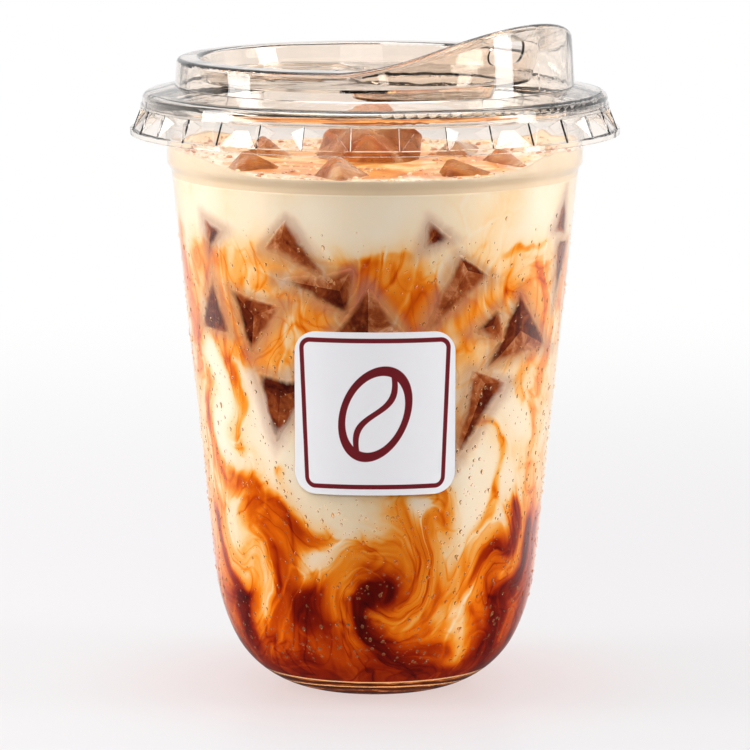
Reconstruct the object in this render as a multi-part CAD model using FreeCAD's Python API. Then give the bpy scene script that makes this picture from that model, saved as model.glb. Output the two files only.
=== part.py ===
"""Iced latte in a clear takeaway cup with a sip-through lid, in millimetres, +Z up.

The origin is the middle of the foot, on the surface that the cup stands on. The label
faces -Y and the spout points between -Y and +X. Each piece is one solid in a node of its
own: cup, lid, label, drink, foam and the ice cubes that float with their tops out.
"""

import FreeCAD, Part

import math
import os

from FreeCAD import Rotation, Vector

# Cup: a thick-bottomed clear tumbler with a round bowl, a straight taper and a rolled rim.
CUP_HEIGHT = 129.4
CUP_WALL = 0.9
RIM_RADIUS = 49.0
RIM_TUBE = 1.6
FOOT_RADIUS = 15.6
FOOT_LAND = 2.4
FOOT_RISE = 1.0
FOOT_ANGLE = 10.0
BOWL_RADIUS = 21.0
BOWL_END_ANGLE = 65.0
HIP_RADIUS = 45.0
FLOOR_HEIGHT = 5.0
WALL_TOP_RADIUS = 44.0
STEP_DROP = 16.4
STEP_OUT = 0.9
STEP_RISE = 1.6
BAND_DRAFT = 0.3

# Drink: what the cup holds, up to the foam.
FILL_GAP = 0.05
LEVEL_DROP = 15.4
FOAM_THICKNESS = 2.2
MENISCUS = 0.8
MENISCUS_WIDTH = 5.0

# Lid: shoulder and bead that snap over the rim, crimped skirt, dome with a recessed deck.
LID_WALL = 0.7
LID_FIT = 0.5
SEAT_GAP = 0.1
BEAD_HEIGHT = 3.2
BEAD_ROUND = 1.6
SHOULDER_RISE = 1.4
DOME_RADIUS = 43.1
DOME_DRAFT = 3.5
DOME_HEIGHT = 5.8
CREST_ROUND = 1.1
DECK_DROP = 4.2
RECESS_RADIUS = 35.0
RECESS_DRAFT = 14.0
RECESS_SHIFT = -2.4

# Spout: the dome's edge stays level, then curves up to a straight ramp as far as its tip.
SPOUT_BEARING = -36.0
SPOUT_START = 25.4
SPOUT_CURVE = 34.0
SPOUT_SLOPE = 29.6
SIP_LENGTH = 13.0
SIP_HEIGHT = 4.6
SIP_SETBACK = 7.6

# Pressed details of the deck: a drinking well under the spout and a raised ring behind it.
WELL_RADIUS = 16.5
WELL_CENTRE = 12.5
WELL_DEPTH = 3.2
WELL_DRAFT = 30.0
RING_RADIUS = 13.5
RING_WIDTH = 3.0
RING_HEIGHT = 0.9
RING_CENTRE = -19.5
RIB_RADIUS = 17.5
RIB_WIDTH = 1.6

# Crimped skirt: hip-roofed dents between upright creases, closed by a plain lip.
CRIMPS = 32
SKIRT_HEIGHT = 5.3
SKIRT_FLARE = 2.1
CRIMP_DEPTH = 1.3
CRIMP_RIDGE_SHARE = 0.34
CRIMP_RIDGE_LEVEL = 0.28
LIP_HEIGHT = 1.0
LIP_OUT = 0.25
LEDGE_HEIGHT = 0.6

# Label: a square sticker with rounded corners, rolled on the taper.
LABEL_WIDTH = 35.0
LABEL_HEIGHT = 35.4
LABEL_CORNER = 4.6
LABEL_THICKNESS = 0.15
LABEL_GLUE = 0.03
LABEL_MIDDLE = 0.503

# Floating ice: bearing, distance from the axis, middle above the level, side, tilts and spin.
ICE_ROUND = 1.6
ICE_TAPER = 0.9
ICE = {
    "ice_1": (256.0, 28.5, -8.0, 17.0, (24.0, 33.0, 20.0)),
    "ice_2": (311.0, 28.5, -8.6, 16.5, (48.0, 20.0, 5.0)),
    "ice_3": (2.0, 28.5, -8.8, 17.0, (15.0, 42.0, 30.0)),
    "ice_4": (48.0, 28.5, -8.2, 16.5, (38.0, 12.0, 65.0)),
    "ice_5": (95.0, 11.0, 0.4, 17.0, (40.0, 38.0, 20.0)),
    "ice_6": (142.0, 28.5, -8.4, 17.0, (20.0, 36.0, 40.0)),
    "ice_7": (202.0, 28.5, -8.4, 16.5, (40.0, 28.0, 12.0)),
}

FULL_TURN = 360.0
AXIS = Vector(0, 0, 1)
ORIGIN = Vector(0, 0, 0)


def at(radius, height):
    """A point of a profile, in the XZ plane."""
    return Vector(radius, 0, height)


def edges_of(points):
    """Straight edges from point to point."""
    return [Part.makeLine(a, b) for a, b in zip(points, points[1:])]


def arc(a, middle, b):
    return Part.Arc(a, middle, b).toShape()


def arc_about(centre, radius, start, end):
    """An arc in the XZ plane from one angle to another, in degrees from +X towards +Z."""

    def on(angle):
        turn = math.radians(angle)
        return centre + Vector(radius * math.cos(turn), 0, radius * math.sin(turn))

    return arc(on(start), on((start + end) / 2), on(end))


def ends(edge):
    return edge.valueAt(edge.FirstParameter), edge.valueAt(edge.LastParameter)


def spun(edges):
    """The solid that a closed profile sweeps round the axis."""
    face = Part.Face(Part.Wire(Part.__sortEdges__(edges)))
    return face.revolve(ORIGIN, AXIS, FULL_TURN)


def tangent_angle(centre, radius, point):
    """The angle at which a line down from the point meets an arc's outer side without a kink."""
    reach = point - centre
    bearing = math.degrees(math.atan2(reach.z, reach.x))
    return bearing - math.degrees(math.acos(radius / reach.Length))


def bowl_side(inset):
    """The cup's curved and straight side from foot to step, moved inwards by inset."""
    foot = math.radians(FOOT_ANGLE)
    hip = math.radians(BOWL_END_ANGLE)
    bowl = at(FOOT_RADIUS - BOWL_RADIUS * math.sin(foot), BOWL_RADIUS * math.cos(foot))
    shift = HIP_RADIUS - BOWL_RADIUS
    hip_centre = bowl + Vector(-shift * math.sin(hip), 0, shift * math.cos(hip))
    top = at(WALL_TOP_RADIUS, CUP_HEIGHT - STEP_DROP)
    angle = tangent_angle(hip_centre, HIP_RADIUS, top)
    turn = math.radians(angle)
    out = Vector(math.cos(turn), 0, math.sin(turn))
    bowl_arc = arc_about(bowl, BOWL_RADIUS - inset, FOOT_ANGLE - 90, BOWL_END_ANGLE - 90)
    hip_arc = arc_about(hip_centre, HIP_RADIUS - inset, BOWL_END_ANGLE - 90, angle)
    wall = Part.makeLine(hip_centre + out * (HIP_RADIUS - inset), top - out * inset)
    return [bowl_arc, hip_arc, wall]


def band_corners(inset):
    """The step at the top of the wall and the band above it, up to the rolled rim."""
    step = CUP_HEIGHT - STEP_DROP
    radius = WALL_TOP_RADIUS + STEP_OUT - inset
    return [
        at(radius, step + STEP_RISE),
        at(radius + BAND_DRAFT, CUP_HEIGHT - 2 * RIM_TUBE),
    ]


def inner_side(gap):
    """The space in the cup, from the floor up into the rim, with a gap all round."""
    inset = CUP_WALL + gap
    bowl, hip, wall = bowl_side(inset)
    low, high = band_corners(inset)
    profile = [bowl, hip, wall] + edges_of([ends(wall)[1], low, high])
    foot = ends(bowl)[0]
    closing = edges_of([high, at(0, high.z), at(0, foot.z), foot])
    solid = spun(profile + closing)
    floor = FLOOR_HEIGHT + gap
    below = Part.makeCylinder(RIM_RADIUS, floor + 1, at(0, -1), AXIS)
    return solid.cut(below)


def make_cup():
    """Thick floor, round bowl, tapered wall, stacking step and rolled rim in one turn."""
    outer = bowl_side(0)
    inner = bowl_side(CUP_WALL)
    foot = ends(outer[0])[0]
    land = at(FOOT_RADIUS - FOOT_LAND, 0)
    hollow = arc(at(0, FOOT_RISE), at(land.x * 0.6, FOOT_RISE * 0.7), land)
    out_low, out_high = band_corners(0)
    in_low, in_high = band_corners(CUP_WALL)
    tube = at(RIM_RADIUS - RIM_TUBE, CUP_HEIGHT - RIM_TUBE)
    under = tube + Vector(0, 0, -RIM_TUBE)
    over = tube + Vector(0, 0, RIM_TUBE)
    side = tube + Vector(RIM_TUBE, 0, 0)
    throat = (in_high + over) * 0.5 + Vector(-0.35 * RIM_TUBE, 0, 0.35 * RIM_TUBE)
    floor_bowl, floor_corner = cut_at_floor(inner[0])
    edges = [hollow, Part.makeLine(land, foot)]
    edges += outer
    edges += edges_of([ends(outer[2])[1], out_low, out_high, under])
    edges += [arc(under, tube + Vector(RIM_TUBE, 0, -RIM_TUBE) * math.sqrt(0.5), side)]
    edges += [arc(side, tube + Vector(RIM_TUBE, 0, RIM_TUBE) * math.sqrt(0.5), over)]
    edges += [arc(over, throat, in_high)]
    edges += edges_of([in_high, in_low, ends(inner[2])[1]])
    edges += [inner[2], inner[1], floor_bowl]
    edges += edges_of([floor_corner, at(0, FLOOR_HEIGHT), at(0, FOOT_RISE)])
    return spun(edges)


def cut_at_floor(bowl_arc):
    """The part of the bowl's inner arc above the floor, and its corner there."""
    circle = bowl_arc.Curve
    rise = FLOOR_HEIGHT - circle.Center.z
    reach = math.sqrt(circle.Radius**2 - rise**2)
    start = math.degrees(math.atan2(rise, reach))
    kept = arc_about(circle.Center, circle.Radius, start, BOWL_END_ANGLE - 90)
    return kept, ends(kept)[0]


def level():
    """Height of the foam's flat top."""
    return CUP_HEIGHT - LEVEL_DROP


def make_ice(name):
    """One cube with worn edges, narrower at one end, tumbled into its place."""
    bearing, distance, lift, side, (roll, pitch, spin) = ICE[name]
    half = side / 2
    near = Part.makePolygon(square(half, -half))
    far = Part.makePolygon(square(half * ICE_TAPER, half))
    cube = Part.makeLoft([near, far], True, True)
    cube = cube.makeFillet(ICE_ROUND, cube.Edges)
    turn = math.radians(bearing)
    place = Vector(distance * math.cos(turn), distance * math.sin(turn), level() + lift)
    cube.Placement = FreeCAD.Placement(place, Rotation(spin, pitch, roll))
    return cube


def square(half, height):
    corners = [(-half, -half), (half, -half), (half, half), (-half, half)]
    return [Vector(x, y, height) for x, y in corners + corners[:1]]


def air_above(filled):
    """What lies over the foam: flat in the middle and curving up to meet the wall."""
    top = level()
    contact = top + MENISCUS
    inside = filled.slice(AXIS, contact)[0].BoundBox.XMax
    start = inside - MENISCUS_WIDTH
    sag = at(inside - MENISCUS_WIDTH * 0.4, top + MENISCUS * 0.25)
    wall = at(inside, contact)
    over = [wall, at(RIM_RADIUS, contact), at(RIM_RADIUS, CUP_HEIGHT), at(0, CUP_HEIGHT)]
    edges = edges_of(over + [at(0, top), at(start, top)])
    edges.append(arc(at(start, top), sag, wall))
    return spun(edges)


def make_drink_and_foam(cubes):
    """The drink up to the foam, and the foam with its raised edge, both cut round the ice."""
    filled = inner_side(FILL_GAP)
    filled = filled.cut(air_above(filled))
    lower = Part.makeCylinder(RIM_RADIUS, level() - FOAM_THICKNESS, ORIGIN, AXIS)
    drink = filled.common(lower)
    foam = filled.cut(lower)
    for cube in cubes:
        drink = drink.cut(cube)
        foam = foam.cut(cube)
    return largest(drink), largest(foam)


def largest(shape):
    """The biggest solid of a cut shape, without crumbs left between two cutters."""
    return max(shape.Solids, key=lambda solid: solid.Volume)


def make_label():
    """A patch of a thin tapered sleeve on the cup's wall, cut to a rounded square from the front."""
    wall = bowl_side(0)[2]
    bottom, top = ends(wall)
    along = (top - bottom).normalize()
    out = Vector(along.z, 0, -along.x)
    middle = bottom + along * ((CUP_HEIGHT * LABEL_MIDDLE - bottom.z) / along.z)
    middle += out * LABEL_GLUE
    half = along * (LABEL_HEIGHT / 2)
    low, high = middle - half, middle + half
    skin = out * LABEL_THICKNESS
    margin = along
    sleeve_edges = edges_of(
        [
            low - margin,
            high + margin,
            high + margin + skin,
            low - margin + skin,
            low - margin,
        ]
    )
    sleeve = spun(sleeve_edges)
    width = 2 * middle.x * math.sin(LABEL_WIDTH / 2 / middle.x)
    plate = Part.makeBox(
        width, RIM_RADIUS, high.z - low.z, Vector(-width / 2, -RIM_RADIUS, low.z)
    )
    upright = [e for e in plate.Edges if abs(e.tangentAt(e.FirstParameter).y) > 0.99]
    plate = plate.makeFillet(LABEL_CORNER, upright)
    return sleeve.common(plate)


def shoulder_height(radius):
    """Height of the shoulder's outer face, which rises from the bead to the dome."""
    bead_top = CUP_HEIGHT + SEAT_GAP + LID_WALL
    outer = bead_radius() - BEAD_ROUND
    crest = RIM_RADIUS - RIM_TUBE
    slope = SHOULDER_RISE / (outer - DOME_RADIUS)
    return bead_top + (crest - radius) * slope


def bead_radius():
    return RIM_RADIUS + LID_FIT + LID_WALL


def skirt_top():
    return shoulder_height(bead_radius() - BEAD_ROUND) - BEAD_HEIGHT


def make_bead():
    """Shoulder over the rim, rounded bead down its side, and the ledge that carries the skirt."""
    outer = bead_radius()
    corner = at(outer - BEAD_ROUND, shoulder_height(outer - BEAD_ROUND))
    root = at(DOME_RADIUS, shoulder_height(DOME_RADIUS))
    side = at(outer, corner.z - BEAD_ROUND)
    bend = Vector(math.sqrt(0.5), 0, math.sqrt(0.5))
    centre = at(outer - BEAD_ROUND, corner.z - BEAD_ROUND)
    down = Vector(0, 0, -LID_WALL)
    inner_side_top = at(outer - LID_WALL, side.z)
    ledge = skirt_top()
    edges = [Part.makeLine(root, corner)]
    edges += [arc(corner, centre + bend * BEAD_ROUND, side)]
    edges += edges_of([side, at(outer, ledge), at(outer - LID_WALL, ledge), inner_side_top])
    inner_bend = centre + bend * (BEAD_ROUND - LID_WALL)
    edges += [arc(inner_side_top, inner_bend, corner + down)]
    edges += edges_of([corner + down, root + down, root + down + at(-LID_WALL, 0)])
    edges += edges_of([root + down + at(-LID_WALL, 0), root + at(-LID_WALL, 0), root])
    return spun(edges)


def ring(inner, outer, low, high):
    """A plain flat ring round the axis."""
    height = high - low
    disc = Part.makeCylinder(outer, height, at(0, low), AXIS)
    return disc.cut(Part.makeCylinder(inner, height, at(0, low), AXIS))


def crimp_points(inset):
    """Corners of the crimped skirt: creases top and bottom, and each dent's short ridge."""
    top = skirt_top()
    bottom = top - SKIRT_HEIGHT
    high = bead_radius() + LID_WALL / 2 - inset
    low = high + SKIRT_FLARE
    ridge_z = top - SKIRT_HEIGHT * CRIMP_RIDGE_LEVEL
    ridge_r = high + SKIRT_FLARE * CRIMP_RIDGE_LEVEL - CRIMP_DEPTH
    pitch = FULL_TURN / CRIMPS

    def point(radius, height, angle):
        turn = math.radians(angle)
        return Vector(radius * math.cos(turn), radius * math.sin(turn), height)

    tops, bottoms, ridges = [], [], []
    for k in range(CRIMPS):
        crease = (k + 0.5) * pitch
        middle = (k + 1) * pitch
        half = CRIMP_RIDGE_SHARE * pitch / 2
        tops.append(point(high, top, crease))
        bottoms.append(point(low, bottom, crease))
        ridges.append((point(ridge_r, ridge_z, middle - half), point(ridge_r, ridge_z, middle + half)))
    return tops, bottoms, ridges


def flat(*corners):
    return Part.Face(Part.makePolygon(list(corners) + [corners[0]]))


def make_skirt():
    """The flared skirt as one folded shell: four flat facets to each dent, inside and outside."""
    outer_tops, outer_bottoms, outer_ridges = crimp_points(0)
    inner_tops, inner_bottoms, inner_ridges = crimp_points(LID_WALL)
    faces = []
    for k in range(CRIMPS):
        n = (k + 1) % CRIMPS
        for tops, bottoms, ridges in (
            (outer_tops, outer_bottoms, outer_ridges),
            (inner_tops, inner_bottoms, inner_ridges),
        ):
            near, far = ridges[k]
            faces.append(flat(tops[k], near, far, tops[n]))
            faces.append(flat(bottoms[k], bottoms[n], far, near))
            faces.append(flat(tops[k], bottoms[k], near))
            faces.append(flat(tops[n], far, bottoms[n]))
        faces.append(flat(outer_tops[k], outer_tops[n], inner_tops[n], inner_tops[k]))
        faces.append(flat(outer_bottoms[k], inner_bottoms[k], inner_bottoms[n], outer_bottoms[n]))
    shell = Part.makeShell(faces)
    shell.sewShape()
    solid = Part.makeSolid(shell)
    if solid.Volume < 0:
        solid.reverse()
    return solid


def make_ledge_and_lip():
    """The round ledge above the creases and the plain lip that closes the skirt below."""
    top = skirt_top()
    low = top - SKIRT_HEIGHT
    upper = bead_radius() + LID_WALL / 2
    lower = upper + SKIRT_FLARE
    ledge = ring(upper - 2 * LID_WALL, upper, top - LEDGE_HEIGHT / 3, top + LEDGE_HEIGHT * 2 / 3)
    lip = ring(lower - 2 * LID_WALL, lower + LIP_OUT, low - LIP_HEIGHT * 0.6, low + LIP_HEIGHT * 0.4)
    return [ledge, lip]


def crest_height():
    return dome_base() + DOME_HEIGHT


def deck_height():
    return crest_height() - DECK_DROP


def crest_line(drop):
    """The closed side view of the dome: level top, curve and ramp, moved inwards by drop."""
    slope = math.radians(SPOUT_SLOPE)
    across = math.tan(slope / 2)
    level_top = crest_height() - drop
    corner = SPOUT_START + drop * across
    curve = SPOUT_CURVE + drop
    first = at(SPOUT_START - SPOUT_CURVE * across, level_top)
    reach = corner - first.x
    second = at(corner + reach * math.cos(slope), level_top + reach * math.sin(slope))
    tip_x = 2 * RIM_RADIUS
    tip = at(tip_x, second.z + (tip_x - second.x) * math.tan(slope))
    edges = [arc_about(at(first.x, level_top + curve), curve, -90, SPOUT_SLOPE - 90)]
    edges += edges_of([second, tip, at(tip_x, 0), at(-tip_x, 0), at(-tip_x, level_top), first])
    return edges


def dome_base():
    return shoulder_height(DOME_RADIUS)


def dome_edge(height):
    """Radius of the dome's outer side at a height."""
    return DOME_RADIUS - (height - dome_base()) * math.tan(math.radians(DOME_DRAFT))


def spout_height():
    """Height of the spout's tip before its edges are rounded."""
    slope = math.tan(math.radians(SPOUT_SLOPE))
    return crest_height() + (DOME_RADIUS - SPOUT_START) * slope


def cone_between(low_radius, low, high_radius, high, x):
    place = Vector(x, 0, low)
    return Part.makeCone(low_radius, high_radius, high - low, place, AXIS)


def dome_plug(inset, base):
    """The dome as a filled block under its curved edge, moved inwards by inset."""
    top = spout_height() + RIM_TUBE
    cone = cone_between(dome_edge(base) - inset, base, dome_edge(top) - inset, top, 0)
    side = Part.Face(Part.Wire(Part.__sortEdges__(crest_line(inset))))
    side.translate(Vector(0, -RIM_RADIUS, 0))
    return cone.common(side.extrude(Vector(0, 2 * RIM_RADIUS, 0)))


def recess(grow):
    """The hollow over the deck, grown by a wall."""
    top = spout_height() + 2 * RIM_TUBE
    deck = deck_height() - grow
    lean = math.tan(math.radians(RECESS_DRAFT))
    radius = RECESS_RADIUS + grow - grow * lean
    return cone_between(radius, deck, radius + (top - deck) * lean, top, RECESS_SHIFT)


def well(grow, top):
    """The drinking well in the deck under the spout, grown by a wall, up to a height."""
    floor = deck_height() - WELL_DEPTH - grow
    slant = math.tan(math.radians(WELL_DRAFT))
    low = WELL_RADIUS + grow - (WELL_DEPTH + grow) * slant
    return cone_between(low, floor, low + (top - floor) * slant, top, WELL_CENTRE)


def sip_slot():
    """A round-ended slot through the recess wall, high up inside the spout."""
    middle = spout_height() - SIP_SETBACK
    half = (SIP_LENGTH - SIP_HEIGHT) / 2
    start = RECESS_RADIUS / 2
    reach = dome_edge(middle) - 2 * LID_WALL - start
    corner = Vector(start, -half, middle - SIP_HEIGHT / 2)
    slot = Part.makeBox(reach, 2 * half, SIP_HEIGHT, corner)
    for y in (-half, half):
        end = Part.makeCylinder(SIP_HEIGHT / 2, reach, Vector(start, y, middle), Vector(1, 0, 0))
        slot = slot.fuse(end)
    return slot


def deck_relief():
    """The raised ring behind the well and the rib that follows it."""
    deck = deck_height()
    ring_one = ring(RING_RADIUS - RING_WIDTH, RING_RADIUS, deck - LID_WALL / 2, deck + RING_HEIGHT)
    rib = ring(RIB_RADIUS - RIB_WIDTH, RIB_RADIUS, deck - LID_WALL / 2, deck + RING_HEIGHT / 2)
    relief = ring_one.fuse(rib)
    relief.translate(Vector(RING_CENTRE, 0, 0))
    inside = disc_at(RECESS_RADIUS - LID_WALL, RECESS_SHIFT)
    return relief.common(inside).cut(disc_at(WELL_RADIUS + LID_WALL, WELL_CENTRE))


def disc_at(radius, x):
    """A thick disc through the deck, centred on the lid's long axis."""
    place = Vector(x, 0, deck_height() - LID_WALL)
    return Part.makeCylinder(radius, 2 * LID_WALL + RING_HEIGHT, place, AXIS)


def make_dome():
    """The dome's shell: wall, rolled crest, recess wall and deck with its pressed relief."""
    base = dome_base() - LID_WALL * 0.8
    outer = dome_plug(0, base).cut(recess(0))
    crest = [edge for edge in outer.Edges if is_crest(edge)]
    outer = outer.makeFillet(CREST_ROUND, crest)
    inner = dome_plug(LID_WALL, base - LID_WALL).cut(recess(LID_WALL))
    shell = outer.cut(inner).fuse(well(LID_WALL, deck_height()))
    shell = shell.cut(well(0, deck_height() + DECK_DROP)).fuse(deck_relief()).cut(sip_slot())
    shell.rotate(ORIGIN, AXIS, SPOUT_BEARING)
    return shell


def is_crest(edge):
    """True for the edges where the top meets the dome's side or the recess wall."""
    low = edge.BoundBox.ZMin > crest_height() - CREST_ROUND / 2
    straight_across = edge.BoundBox.XLength < 0.01
    return low and not straight_across


def make_lid():
    lid = make_bead()
    for piece in [make_dome(), make_skirt()] + make_ledge_and_lip():
        lid = lid.fuse(piece)
    return lid.removeSplitter()


def export(name, shape):
    print(f"{name}: solids {len(shape.Solids)}, valid {shape.isValid()}, {shape.Volume / 1000:.2f} ml")
    shape.exportStep(os.path.join("parts", name + ".step"))


def main():
    os.makedirs("parts", exist_ok=True)
    cubes = {name: make_ice(name) for name in ICE}
    drink, foam = make_drink_and_foam(list(cubes.values()))
    export("cup", make_cup())
    export("drink", drink)
    export("foam", foam)
    export("label", make_label())
    for name, cube in cubes.items():
        export(name, cube)
    export("lid", make_lid())


main()
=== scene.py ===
import math

import bpy
import numpy as np
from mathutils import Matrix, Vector


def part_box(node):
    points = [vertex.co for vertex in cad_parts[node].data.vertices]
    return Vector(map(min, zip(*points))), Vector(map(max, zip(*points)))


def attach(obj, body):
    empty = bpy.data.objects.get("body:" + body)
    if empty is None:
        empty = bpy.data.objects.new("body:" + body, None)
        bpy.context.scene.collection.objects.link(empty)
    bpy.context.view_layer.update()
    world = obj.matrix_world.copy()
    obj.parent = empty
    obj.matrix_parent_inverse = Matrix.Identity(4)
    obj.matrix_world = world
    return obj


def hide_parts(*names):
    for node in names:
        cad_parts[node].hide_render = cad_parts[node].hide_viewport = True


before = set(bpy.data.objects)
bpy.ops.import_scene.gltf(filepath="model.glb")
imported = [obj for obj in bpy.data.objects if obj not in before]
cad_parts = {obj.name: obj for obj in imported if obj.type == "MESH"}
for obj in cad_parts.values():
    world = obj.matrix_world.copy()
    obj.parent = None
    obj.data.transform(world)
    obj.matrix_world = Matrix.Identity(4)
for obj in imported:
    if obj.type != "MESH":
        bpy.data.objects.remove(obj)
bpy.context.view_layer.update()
MM = 0.001
TURN = 2 * math.pi
WHITE = (1, 1, 1, 1)

# The cup's outer face, in millimetres and degrees: two arcs of the bowl with the steepness at
# which each starts, the top of the straight taper, and the step under the rim as radius and height.
WALL = 0.9
FOOT_RADIUS = 15.6
FOOT_LEAN = 10.0
BOWL_ARC = 21.0
HIP_LEAN = 65.0
HIP_ARC = 45.0
TAPER_LEAN = 83.6
TAPER_TOP = (44.0, 113.0)
STEP = [(44.9, 114.6), (45.2, 126.0)]

# What fills the cup, in mm. Drink, foam and sunk ice reach into the wall by their grip, the
# drink stops short of the profile's top inside the foam, and the foam is drawn up at the wall,
# higher at both sides, where it is banked.
FLOOR = 5.0
WALL_GRIP = 0.14
FOAM_GRIP = 0.11
ICE_GRIP = 0.20
DRINK_STOP = 1.2
FOAM_BASE = 111.0
FOAM_TOP = 114.0
FOAM_EDGE = 114.9
BANK_RISE = 3.2
BANK_WIDTH = 1.5

# The ice: the rounding of its edges and how deep milk veils it, in mm; and the floating cubes.
ICE_WORN = 0.9
VEIL_DEPTH = 2.4
FLOATING_ICE = 7

# How far the finely divided front of the drink reaches to each side, in degrees.
FRONT_HALF = 96

# The label and its print, in mm and degrees: a line round it and a bean in the middle. Dew keeps
# clear of the label by its half reach round the cup, in radians.
LABEL_RADIUS = 40.5
LABEL_REACH = 0.42
LINE_HALF = 16.3
LINE_CORNER = 2.4
LINE_WIDTH = 1.0
BEAN_WIDTH = 13.5
BEAN_LENGTH = 19.5
BEAN_LEAN = 24.0
BEAN_LINE = 1.5
BEAN_WAVE = 2.0
PEN_SOFT = 0.05

# The studio: the strength of its even light, and of what gloss mirrors in front of the cup; how
# many dark cards clear pieces show round it.
FILL = 0.5
GLOSS_FRONT = 0.05
CARDS = 9

# Soft lamps: width, height and place in metres, the height that they aim at on the cup's axis,
# their power in watts and whether gloss mirrors them.
LAMPS = [
    ("left_strip", 0.30, 1.0, (-0.85, -0.10, 0.45), 0.07, 6.2, True),
    ("right_strip", 0.22, 1.0, (0.80, -0.16, 0.45), 0.07, 4.5, True),
    ("top_soft", 0.9, 0.9, (0, 0.1, 1.1), 0.05, 5.5, True),
    ("front_fill", 0.9, 0.7, (0.1, -1.5, 0.9), 0.07, 5, False),
]

# The camera: its lens and film in mm, its place in metres and how far it looks down in degrees.
LENS = 245.3
FILM = 36.0
CAMERA_PLACE = (0, -1.1, 0.232)
CAMERA_DOWN = 8.5


# ---------------------------------------------------------------- shader maths

class Wave:
    """What varies over a surface: a shader socket. Arithmetic on numbers adds Math nodes."""

    def __init__(self, nodes, socket):
        self.nodes = nodes
        self.socket = socket

    def math(self, operation, *values):
        return self.nodes.calculate(operation, self, *values)

    def __add__(self, other):
        return self.math("ADD", other)

    def __mul__(self, other):
        return self.math("MULTIPLY", other)

    def __sub__(self, other):
        return self.math("SUBTRACT", other)

    def __rsub__(self, other):
        return self.nodes.calculate("SUBTRACT", other, self)

    def __truediv__(self, other):
        return self.math("DIVIDE", other)

    def __pow__(self, other):
        return self.math("POWER", other)

    __radd__ = __add__
    __rmul__ = __mul__

    def clip(self):
        return self.nodes.add("ShaderNodeClamp", {}, {"Value": self})

    def step(self, low, high, first=0.0, last=1.0):
        """The first value below low, the last above high and a smooth slope between them."""
        return self.nodes.add("ShaderNodeMapRange", {"interpolation_type": "SMOOTHSTEP"}, {
            "Value": self, "From Min": low, "From Max": high, "To Min": first, "To Max": last})


class Nodes:
    """A tree of shader nodes; each node is added by one method."""

    def __init__(self, tree, output):
        self.tree = tree
        self.tree.nodes.clear()
        self.output = self.tree.nodes.new(output)

    def add(self, kind, settings, sockets, out=None):
        """Adds a node: its settings first, then the values or links of its sockets."""
        node = self.tree.nodes.new(kind)
        for key, value in settings.items():
            if key == "stops":
                self.set_stops(node.color_ramp, value)
            else:
                setattr(node, key, value)
        for key, value in sockets.items():
            if isinstance(value, Wave):
                self.tree.links.new(value.socket, node.inputs[key])
            else:
                node.inputs[key].default_value = value
        if out is None:
            out = next(i for i, s in enumerate(node.outputs) if s.enabled)
        return Wave(self, node.outputs[out])

    @staticmethod
    def set_stops(ramp, stops):
        while len(ramp.elements) < len(stops):
            ramp.elements.new(0.5)
        for element, (place, colour) in zip(ramp.elements, stops):
            element.position = place
            element.color = colour + (1.0,)

    def calculate(self, operation, *values):
        return self.add("ShaderNodeMath", {"operation": operation}, dict(enumerate(values)))

    def axis(self, vector, letter):
        """One of a vector's three numbers, by its letter."""
        return self.add("ShaderNodeSeparateXYZ", {}, {"Vector": vector}, letter)

    def ray(self, kind):
        """1 for rays of one kind and 0 for the others."""
        return self.add("ShaderNodeLightPath", {}, {}, "Is %s Ray" % kind)

    def mix(self, share, first, second):
        """One colour at share 0 and another at share 1."""
        return self.add("ShaderNodeMix", {"data_type": "RGBA"}, {0: share, 6: first, 7: second})

    def blend(self, share, first, second):
        """One shader at share 0 and another at share 1."""
        return self.add("ShaderNodeMixShader", {}, {0: share, 1: first, 2: second})

    def use(self, shader):
        self.tree.links.new(shader.socket, self.output.inputs["Surface"])


class Finish(Nodes):
    """A material and its nodes."""

    def __init__(self, name):
        self.material = bpy.data.materials.new(name)
        self.material.use_nodes = True
        super().__init__(self.material.node_tree, "ShaderNodeOutputMaterial")

    def place(self):
        return self.add("ShaderNodeTexCoord", {}, {}, "Object")

    def height(self):
        """Height above the ground."""
        return self.axis(self.place(), "Z")

    def length(self, vector):
        return self.add("ShaderNodeVectorMath", {"operation": "LENGTH"}, {0: vector}, "Value")

    def from_axis(self):
        """Distance from the cup's upright axis."""
        flat = self.add("ShaderNodeVectorMath", {"operation": "MULTIPLY"}, {0: self.place(), 1: (1, 1, 0)})
        return self.length(flat)

    def field(self, name, out="Fac"):
        """A value that is kept on the piece's points."""
        return self.add("ShaderNodeAttribute", {"attribute_name": name}, {}, out)

    def stretch(self, vector, scale, shift=(0, 0, 0)):
        """A vector scaled and then shifted, so that a pattern on it is drawn out."""
        return self.add("ShaderNodeMapping", {}, {"Vector": vector, "Scale": scale, "Location": shift})

    def noise(self, vector, scale, detail=3.0, roughness=0.5, distortion=0.0):
        return self.add("ShaderNodeTexNoise", {}, {
            "Vector": vector, "Scale": scale, "Detail": detail, "Roughness": roughness,
            "Distortion": distortion})

    def cells(self, vector, scale, feature="F1"):
        """Cells of random size: the distance to the middle of each, or to its walls."""
        return self.add("ShaderNodeTexVoronoi", {"feature": feature}, {"Vector": vector, "Scale": scale})

    def ramp(self, share, stops):
        return self.add("ShaderNodeValToRGB", {"stops": stops}, {"Fac": share})

    def bump(self, height, strength):
        return self.add("ShaderNodeBump", {}, {"Height": height, "Strength": strength, "Distance": 0.8 * MM})

    def skin(self, **sockets):
        """The surface shader, with its sockets named in lower case with underscores."""
        names = {k.replace("_", " ").title().replace("Ior", "IOR"): v for k, v in sockets.items()}
        return self.add("ShaderNodeBsdfPrincipled", {}, names)

    def glow(self, colour, strength=1.0):
        return self.add("ShaderNodeEmission", {}, {"Color": colour, "Strength": strength})

    def use(self, shader):
        super().use(shader)
        return self.material


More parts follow.
